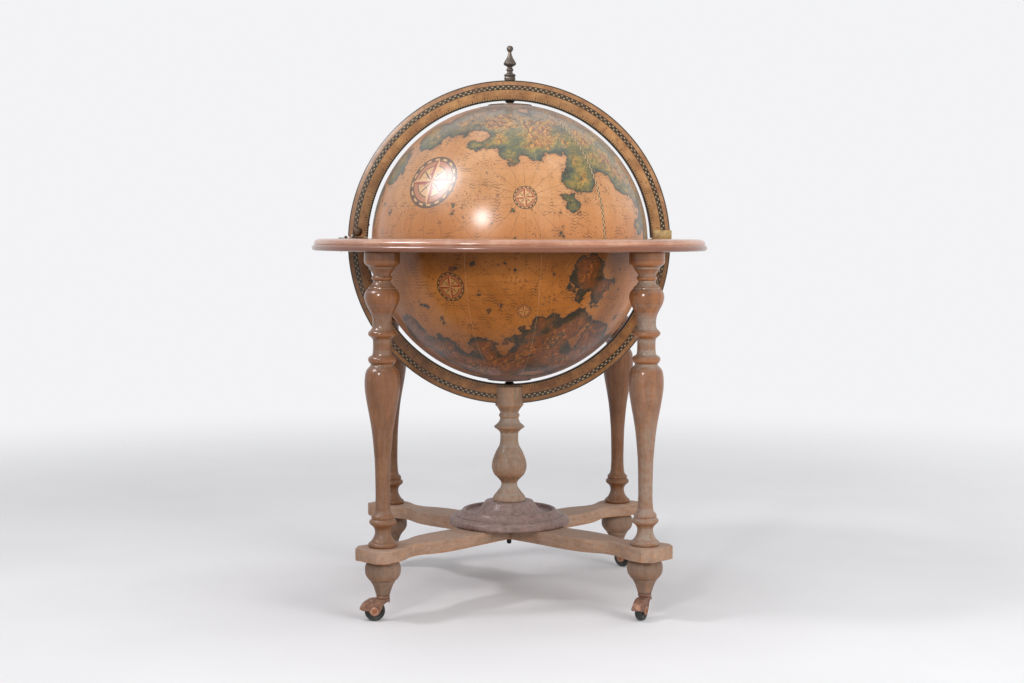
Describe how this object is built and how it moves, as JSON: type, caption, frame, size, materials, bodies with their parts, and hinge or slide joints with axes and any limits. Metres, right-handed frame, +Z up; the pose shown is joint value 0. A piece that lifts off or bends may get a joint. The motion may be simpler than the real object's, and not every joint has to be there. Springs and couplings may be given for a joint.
{
  "type": "floor globe bar",
  "caption": "Floor-standing globe bar: a hinged antique-style globe in a horizon ring on turned legs with swivel casters, opening onto a tray for bottles and glasses.",
  "frame": {"origin": "centre of the footprint on the floor, straight under the globe's poles", "axes": "+Z up along the globe's axis, +X towards the lid's free foot, -X towards its hinge, -Y towards the front"},
  "size_m": [0.714, 0.714, 0.9945],
  "materials": {
    "turned_wood": "varnished turned hardwood, dusty in the recesses",
    "ring_wood": "glossy red-brown varnish",
    "disc_wood": "dark purplish-brown, dull",
    "stretcher_wood": "worn varnish, dusty",
    "bar_wood": "satin varnish",
    "map_print": "varnished antique-style print on pressed-wood shell",
    "meridian_print": "wood faced with a varnished paper scale",
    "black_metal": "blackened",
    "brass": "aged brass sheet",
    "hinge_bronze": "dark bronzed",
    "caster_metal": "copper-plated steel, rubbed and rusty at the axle",
    "caster_wheel": "hard rubber, dull",
    "screw_steel": "plain steel",
    "pewter": "grey-brown cast and turned metal"
  },
  "bodies": {
    "stand": {"horizon_ring": "ring_wood", "leg_front_left": "turned_wood", "leg_front_right": "turned_wood", "leg_back_left": "turned_wood", "leg_back_right": "turned_wood", "foot_front_left": "turned_wood", "foot_front_right": "turned_wood", "foot_back_left": "turned_wood", "foot_back_right": "turned_wood", "ferrule_front_left": "caster_metal", "ferrule_front_right": "caster_metal", "ferrule_back_left": "caster_metal", "ferrule_back_right": "caster_metal", "stretcher_lower_board": "stretcher_wood", "stretcher_upper_board": "stretcher_wood", "base_disc": "disc_wood", "centre_column": "turned_wood", "centre_rod": "black_metal", "centre_washer": "black_metal", "centre_nut": "black_metal", "lower_meridian": "meridian_print", "lower_pole_pin": "black_metal", "lower_pin_nut": "black_metal", "meridian_screw": "screw_steel", "hinge_ring_leaf": "hinge_bronze", "hinge_ring_screw": "screw_steel", "hinge_pin": "hinge_bronze", "lid_guide_shoe": "brass", "shoe_screw": "screw_steel"},
    "lid": {"upper_meridian": "meridian_print", "upper_pole_pin": "black_metal", "upper_pin_nut": "black_metal", "finial": "pewter", "hinge_lid_leaf": "hinge_bronze", "hinge_bolt": "hinge_bronze", "hinge_bolt_cap": "hinge_bronze", "hinge_foot_screw": "screw_steel"},
    "upper_globe": {"upper_hemisphere": "map_print", "upper_pole_cap": "map_print", "upper_rim_hoop": "bar_wood"},
    "lower_globe": {"lower_hemisphere": "map_print", "lower_pole_cap": "map_print", "lower_rim_hoop": "bar_wood", "bar_tray": "bar_wood", "bottle_shelf": "bar_wood"},
    "caster_front_left": {"caster_fork_front_left": "caster_metal", "caster_axle_front_left": "caster_metal"},
    "caster_front_right": {"caster_fork_front_right": "caster_metal", "caster_axle_front_right": "caster_metal"},
    "caster_back_left": {"caster_fork_back_left": "caster_metal", "caster_axle_back_left": "caster_metal"},
    "caster_back_right": {"caster_fork_back_right": "caster_metal", "caster_axle_back_right": "caster_metal"},
    "wheel_front_left": {"caster_wheel_front_left": "caster_wheel"},
    "wheel_front_right": {"caster_wheel_front_right": "caster_wheel"},
    "wheel_back_left": {"caster_wheel_back_left": "caster_wheel"},
    "wheel_back_right": {"caster_wheel_back_right": "caster_wheel"}
  },
  "joints": [
    {"name": "lid_hinge", "type": "hinge", "parent": "stand", "child": "lid", "pos_m": [-0.2962, 0, 0.6497], "axis": [0, -1, 0], "range_deg": [0, 95]},
    {"name": "upper_globe_spin", "type": "hinge", "parent": "lid", "child": "upper_globe", "pos_m": [0, 0, 0.6394], "axis": [0, 0, 1], "continuous": true},
    {"name": "lower_globe_spin", "type": "hinge", "parent": "stand", "child": "lower_globe", "pos_m": [0, 0, 0.6394], "axis": [0, 0, 1], "continuous": true},
    {"name": "swivel_front_left", "type": "hinge", "parent": "stand", "child": "caster_front_left", "pos_m": [-0.22295, -0.22295, 0.05], "axis": [0, 0, 1], "continuous": true},
    {"name": "swivel_front_right", "type": "hinge", "parent": "stand", "child": "caster_front_right", "pos_m": [0.22295, -0.22295, 0.05], "axis": [0, 0, 1], "continuous": true},
    {"name": "swivel_back_left", "type": "hinge", "parent": "stand", "child": "caster_back_left", "pos_m": [-0.22295, 0.22295, 0.05], "axis": [0, 0, 1], "continuous": true},
    {"name": "swivel_back_right", "type": "hinge", "parent": "stand", "child": "caster_back_right", "pos_m": [0.22295, 0.22295, 0.05], "axis": [0, 0, 1], "continuous": true},
    {"name": "roll_front_left", "type": "hinge", "parent": "caster_front_left", "child": "wheel_front_left", "pos_m": [-0.23695, -0.22295, 0.0175], "axis": [0, -1, 0], "continuous": true},
    {"name": "roll_front_right", "type": "hinge", "parent": "caster_front_right", "child": "wheel_front_right", "pos_m": [0.21616, -0.2352, 0.0175], "axis": [0.8746, -0.4848, 0], "continuous": true},
    {"name": "roll_back_left", "type": "hinge", "parent": "caster_back_left", "child": "wheel_back_left", "pos_m": [-0.23674, 0.22538, 0.0175], "axis": [-0.1736, -0.9848, 0], "continuous": true},
    {"name": "roll_back_right", "type": "hinge", "parent": "caster_back_right", "child": "wheel_back_right", "pos_m": [0.23398, 0.21433, 0.0175], "axis": [0.6157, 0.788, 0], "continuous": true}
  ]
}
